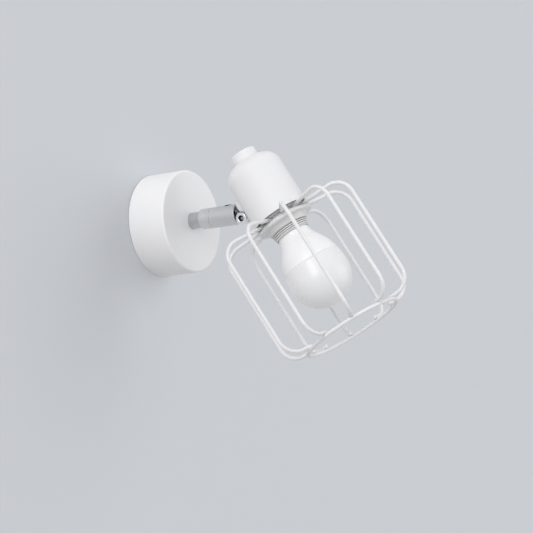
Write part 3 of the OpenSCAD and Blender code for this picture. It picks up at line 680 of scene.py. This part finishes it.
def bulbOutline(c=lamp):
    # a cubic curve from the neck to the belly, then a quarter circle to the tip
    t = np.linspace(0, 1, c["curveSteps"])[:, None]
    n, r, b = c["neck"], c["radius"], c["belly"]
    start = c["neckAt"] - c["lip"]
    handles = np.array([(n, start), (n + c["neckFlare"], start - c["neckHold"]),
                        (r, b + c["bellyHold"] * r), (r, b)])
    weights = np.concatenate([(1 - t) ** 3, 3 * t * (1 - t) ** 2, 3 * t * t * (1 - t), t ** 3], 1)
    a = np.linspace(0, np.pi / 2, c["globeSteps"])[1:]
    globe = np.stack([r * np.cos(a), b - r * np.sin(a)], 1)
    return np.concatenate([weights @ handles, globe])


def makeLamp(c=lamp):
    # two shells that meet in a shallow groove at the seam; their insides follow the outline
    # with fewer points
    line = bulbOutline()
    r, z = line.T
    at = np.interp(-c["seam"], -z, r)
    g, w, e, gap, thin = (c["grooveWide"] / 2, c["wall"], c["neckEase"], c["halfGap"],
                          c["thin"])
    upper = line[z > c["seam"] + g]
    lower = line[z < c["seam"] - g]
    housing = np.concatenate([
        [(c["neck"] - e, c["neckAt"]), (c["neck"], c["neckAt"] - e)], upper,
        [(at - c["groove"], c["seam"] + gap), (at - w, c["seam"] + gap)],
        (upper - [w, 0])[::-thin],
        [(c["tubeBore"], c["neckAt"] - w), (c["tubeBore"], c["tubeTo"]),
         (c["tube"], c["tubeTo"]), (c["tube"], c["neckAt"])]])
    turnedPiece("lampHousing", "lamp_housing", housing, cupFrame, lampWhite, c["sides"],
                c["sharp"])
    centre = [0, c["belly"]]
    inside = (lower[::-thin] - centre) * (c["radius"] - w) / c["radius"] + centre
    dome = np.concatenate([[(at - w, c["seam"] - gap), (at - c["groove"], c["seam"] - gap)],
                           lower, inside])
    turnedPiece("lampDome", "lamp_dome", dome, cupFrame, lampOpal, c["sides"], c["sharp"])


makeLamp()

screwBase = {"radius": 6.85, "wall": 0.4, "from": -30.5, "to": -17.4, "pitch": 2.82,
             "depth": 0.5, "fadeIn": 1.5, "fadeOut": 1.0, "loops": 90, "sides": 96,
             "sharp": 50}


def makeScrewBase(c=screwBase):
    # a pressed shell: inside and outside follow the same rounded thread
    heights = np.linspace(c["from"], c["to"], c["loops"])
    outer = np.stack([np.full(c["loops"], c["radius"]), heights], 1)
    profile = np.concatenate([outer, (outer - [c["wall"], 0])[::-1]])
    grid = revolved(profile, c["sides"])
    turn = np.linspace(0, 2 * np.pi, c["sides"], endpoint=False)[:, None]
    z = profile[None, :, 1]
    fade = (np.clip((z - c["from"]) / c["fadeIn"], 0, 1)
            * np.clip((c["to"] - z) / c["fadeOut"], 0, 1))
    dip = c["depth"] * fade * (0.5 - 0.5 * np.cos(2 * np.pi * z / c["pitch"] - turn))
    grid[..., :2] *= (1 - dip / profile[None, :, 0])[..., None]
    finishMesh("lampScrewBase", inPlace(grid, cupFrame), gridFaces(*grid.shape[:2]),
               "lamp_base", lampMetal, c["sharp"])


makeScrewBase()
print("lamp made")


# ---- cage

cage = {"wire": 1.4, "radius": 52.75, "bend": 13, "top": -16.95, "foot": -108.25,
        "innerTop": 15.5, "innerFoot": 33.5, "count": 10, "turn": -1.8, "ends": 0.2,
        "steps": 22, "sides": 20, "sharp": 50}


def wirePath(c=cage):
    # out over the flat ring, down the side and in to the mouth ring, in the x-z plane
    corners = [(c["innerTop"], 0, c["top"]), (c["radius"], 0, c["top"]),
               (c["radius"], 0, c["foot"]), (c["innerFoot"], 0, c["foot"])]
    return filleted(corners, [0, c["bend"], c["bend"], 0], c["steps"], closed=False)


def makeWires(c=cage):
    # a tube along the path, in ten places round the cup's axis; its sheared ends have a small
    # round, where the radius comes in over the length of ends and then closes
    path, ends = wirePath(), c["ends"]
    keep = np.concatenate([[True], np.linalg.norm(np.diff(path, axis=0), axis=1) > 1e-6])
    path = path[keep]
    first, last = path[0], path[-1]
    inward = (path[1] - first) / np.linalg.norm(path[1] - first)
    outward = (last - path[-2]) / np.linalg.norm(last - path[-2])
    path = np.concatenate([[first, first], [first + inward * ends], path[1:-1],
                           [last - outward * ends], [last, last]])
    radius = np.full(len(path), c["wire"])
    radius[[0, -1]], radius[[1, -2]] = 0, c["wire"] - ends
    side = np.array([0.0, 1.0, 0.0])
    step = np.gradient(path, axis=0)
    step[0], step[1], step[-1], step[-2] = inward, inward, outward, outward
    step /= np.linalg.norm(step, axis=1)[:, None]
    a = np.linspace(0, 2 * np.pi, c["sides"], endpoint=False)[None, :, None]
    out = np.cross(np.broadcast_to(side, step.shape), step)[:, None]
    grid = path[:, None] + radius[:, None, None] * (np.cos(a) * out + np.sin(a) * side)
    faces = gridFaces(*grid.shape[:2], wrapRows=False)
    for i in range(c["count"]):
        place = cupFrame @ turnZ(180 + c["turn"] + i * 360 / c["count"])
        finishMesh(f"cageWire{i + 1:02d}", inPlace(grid, place), faces,
                   f"cage_wire_{i + 1:02d}", wireWhite, c["sharp"])


makeWires()

mouthRing = {"radius": 36.25, "at": -110.75, "wire": 1.35, "around": 24, "sides": 192,
             "sharp": 60}


def makeMouthRing(c=mouthRing):
    # a torus: a circle of the wire's radius carried round the mouth
    a = np.linspace(0, 2 * np.pi, c["around"], endpoint=False)
    profile = np.stack([c["radius"] + c["wire"] * np.cos(a),
                        c["at"] + c["wire"] * np.sin(a)], 1)
    turnedPiece("cageMouthRing", "cage_bottom_ring", profile, cupFrame, wireWhite, c["sides"],
                c["sharp"])


makeMouthRing()

flatRing = {"outer": 18, "inner": 14.25, "from": -19.5, "to": -18.2, "edge": 0.25,
            "steps": 4, "sides": 96}


def makeFlatRing(c=flatRing):
    profile = filleted([(c["inner"], c["from"]), (c["outer"], c["from"]), (c["outer"], c["to"]),
                        (c["inner"], c["to"])], c["edge"], c["steps"])
    turnedPiece("cageFlatRing", "cage_top_ring", profile, cupFrame, wireWhite, c["sides"])


makeFlatRing()
print("cage made")


# ---- the other pieces keep their solid's shape

def dressRest():
    # a material and the width of the eased edges, or a material alone
    detailed = {
        "wall_bracket": (zinc, 0.2), "tube_nuts": (zinc, 0.15),
        "terminal_block": (terminalPlastic, 0.25), "terminal_screws": (brass, 0.08),
        "block_screw": (zinc, 0.08), "earth_screw": (brass, 0.15),
        "knuckle_fork": (chrome, 0.15), "pivot_screw": (screwChrome, 0.4),
        "pivot_nut": (chrome, 0.15), "knuckle_stem": (stemChrome, 0.15),
        "saddle_washers": (white, 0.12), "stem_nut": (zinc, 0.15), "holder_nut": (zinc, 0.15)}
    plain = {
        "threaded_tube": brass, "swivel_stop_pin": zinc, "swivel_ring_nut": zinc,
        "swivel_spring_washer": zinc, "friction_washers": washerPlastic, "holder_tube": brass,
        "holder_cover": holderPlastic, "holder_core": holderPlastic,
        "holder_thread_shell": brass, "holder_contact": brass, "lamp_insulator": blackGlass,
        "lamp_contact": lampMetal, "lamp_led_board": ledAluminium,
        "lamp_driver_board": boardGreen}
    for node, (material, bevel) in detailed.items():
        words = node.split("_")
        refined(node, words[0] + "".join(w.title() for w in words[1:]), material, bevel)
    for node, material in plain.items():
        nodes[node].data.materials.clear()
        nodes[node].data.materials.append(material)


dressRest()

setScrew = {"proud": 0.5, "above": 7.0, "bevel": 0.1}


def makeSetScrew(c=setScrew):
    # the points above a height over the arm's axis are lifted, so the top stands out a little
    piece = refined("arm_set_screw", "armSetScrew", darkSteel, c["bevel"])
    points = np.empty(3 * len(piece.data.vertices))
    piece.data.vertices.foreach_get("co", points)
    outwards = armFrame[:3, 1]
    height = points.reshape(-1, 3) * 1000 @ outwards
    lift = np.where(height > c["above"], c["proud"] / 1000, 0)[:, None] * outwards
    piece.data.vertices.foreach_set("co", (points.reshape(-1, 3) + lift).ravel())
    piece.data.update()


makeSetScrew()
print("solids dressed")


# ---- room, light and camera

room = {"paper": (0.591, 0.610, 0.645), "floorAt": -0.75, "size": 3.2, "wallGap": 0.0004,
        "hole": 0.036, "wallSides": 64, "wallShade": 0.6, "floorShade": 0.5,
        "wallGives": 1.0, "floorGives": 0.8, "openSky": 0.95}


def linked(tree, kind, sockets=None, **settings):
    node = tree.nodes.new(kind)
    for key, value in settings.items():
        setattr(node, key, value)
    for key, value in (sockets or {}).items():
        if isinstance(value, bpy.types.NodeSocket):
            tree.links.new(value, node.inputs[key])
        else:
            node.inputs[key].default_value = value
    return node


def directRay(tree):  # 1 for the camera's rays and for those through a mirror or glass
    path = linked(tree, "ShaderNodeLightPath")
    rays = [Signal(tree, path.outputs[f"Is {kind} Ray"])
            for kind in ("Camera", "Glossy", "Transmission")]
    total = rays[0] + rays[1] + rays[2]
    return total.math("MINIMUM", total, 1.0).socket


def paperMaterial(name, shadeShare, normal, giveBack):
    # the camera and mirrors see an even paper tone with a share of the real shading laid over
    # it; the diffuse part is scaled so that it has the same tone where nothing shades it
    lamp = lights["room"]
    facing = max(0, Vector(lamp["towards"]).normalized() @ Vector(normal))
    light = room["openSky"] * lights["sky"] + lamp["power"] / math.pi * facing
    even = tuple(min(v / light, 1) for v in room["paper"])
    material = bpy.data.materials.new(name)
    material.use_nodes = True
    tree = material.node_tree
    tree.nodes.clear()
    flat = linked(tree, "ShaderNodeEmission", {"Color": (*room["paper"], 1), "Strength": 1.0})
    lit = linked(tree, "ShaderNodeBsdfDiffuse", {"Color": (*even, 1)})
    seen = linked(tree, "ShaderNodeMixShader", {0: shadeShare, 1: flat.outputs[0],
                                                2: lit.outputs[0]})
    grey = giveBack * sum(even) / 3
    bounce = linked(tree, "ShaderNodeBsdfDiffuse", {"Color": (grey, grey, grey, 1)})
    both = linked(tree, "ShaderNodeMixShader", {0: directRay(tree), 1: bounce.outputs[0],
                                                2: seen.outputs[0]})
    clear = linked(tree, "ShaderNodeBsdfTransparent")  # from behind, the sheet isn't there
    back = linked(tree, "ShaderNodeNewGeometry")
    last = linked(tree, "ShaderNodeMixShader", {0: back.outputs["Backfacing"],
                                                1: both.outputs[0], 2: clear.outputs[0]})
    linked(tree, "ShaderNodeOutputMaterial", {"Surface": last.outputs[0]})
    return material


def makeSheet(name, corners, faces, material):
    mesh = bpy.data.meshes.new(name)
    mesh.from_pydata(corners, [], faces)
    mesh.materials.append(material)
    sheet = bpy.data.objects.new(name, mesh)
    bpy.context.scene.collection.objects.link(sheet)
    return sheet


def makeRoom(c=room):
    s, f, g = c["size"], c["floorAt"], c["wallGap"]
    floor = makeSheet("roomFloor", [(-s, -s, f), (s, -s, f), (s, s, f), (-s, s, f)],
                      [(0, 1, 2, 3)], paperMaterial("floorPaper", c["floorShade"], (0, 0, 1),
                                                    c["floorGives"]))
    # the wall is a great disc with a hole behind the canopy, as the supply's way through it
    turn = np.linspace(0, 2 * np.pi, c["wallSides"], endpoint=False)
    rims = [np.stack([r * np.cos(turn), 0 * turn + g, r * np.sin(turn)], 1)
            for r in (c["hole"], s)]
    wall = makeSheet("roomWall", np.concatenate(rims).tolist(),
                     gridFaces(2, c["wallSides"], wrapRows=False).tolist(),
                     paperMaterial("wallPaper", c["wallShade"], (0, -1, 0), c["wallGives"]))
    world = bpy.data.worlds.new("roomSky")
    bpy.context.scene.world = world
    world.use_nodes = True
    tree = world.node_tree
    tree.nodes.clear()
    sky = linked(tree, "ShaderNodeBackground", {"Color": (1, 1, 1, 1),
                                                "Strength": lights["sky"]})
    paper = linked(tree, "ShaderNodeBackground", {"Color": (*c["paper"], 1), "Strength": 1.0})
    mix = linked(tree, "ShaderNodeMixShader", {0: directRay(tree), 1: sky.outputs[0],
                                               2: paper.outputs[0]})
    linked(tree, "ShaderNodeOutputWorld", {"Surface": mix.outputs[0]})
    return floor, wall


lights = {"sky": 0.61,
          "key": {"towards": (-0.85, 0.05, 0.10), "power": 2.05, "spread": 60},
          "top": {"towards": (-0.80, -0.38, 0.46), "power": 0.62, "spread": 60},
          "fill": {"towards": (0.47, -0.84, 0.10), "power": 0.70, "spread": 50},
          "room": {"towards": (0.66, -0.62, 0.38), "power": 1.5, "spread": 50}}


def makeLight(name, c, sheets):
    # the first three lamps light the object alone, and the last one lights the room alone
    lamp = bpy.data.lights.new(name, "SUN")
    lamp.energy, lamp.angle = c["power"], math.radians(c["spread"])
    holder = bpy.data.objects.new(name, lamp)
    bpy.context.scene.collection.objects.link(holder)
    holder.rotation_mode = "QUATERNION"
    holder.rotation_quaternion = (-Vector(c["towards"])).to_track_quat("-Z", "Y")
    reach = bpy.data.collections.new(name + "Reach")
    for sheet in sheets:
        reach.objects.link(sheet)
    for row in reach.collection_objects:
        row.light_linking.link_state = "INCLUDE" if name == "roomLight" else "EXCLUDE"
    holder.light_linking.receiver_collection = reach


view = {"azimuth": -57.69, "elevation": -12.32, "target": (0.05358, -0.060, -0.02751),
        "distance": 1.6849, "focalPixels": 2285.4, "pixels": 533}


def makeCamera(c=view):
    a, e = math.radians(c["azimuth"]), math.radians(c["elevation"])
    back = Vector((math.sin(a) * math.cos(e), -math.cos(a) * math.cos(e), math.sin(e)))
    data = bpy.data.cameras.new("photoView")
    data.sensor_width = 36
    data.lens = 36 * c["focalPixels"] / c["pixels"]
    data.clip_start, data.clip_end = 0.05, 30
    camera = bpy.data.objects.new("photoView", data)
    bpy.context.scene.collection.objects.link(camera)
    camera.rotation_mode = "QUATERNION"
    camera.location = Vector(c["target"]) + back * c["distance"]
    camera.rotation_quaternion = (-back).to_track_quat("-Z", "Y")
    bpy.context.scene.camera = camera


sheets = makeRoom()
for part in ("key", "top", "fill", "room"):
    makeLight(part + "Light", lights[part], sheets)
makeCamera()
bpy.context.scene.view_settings.view_transform = "Standard"
print("room, light and camera set")
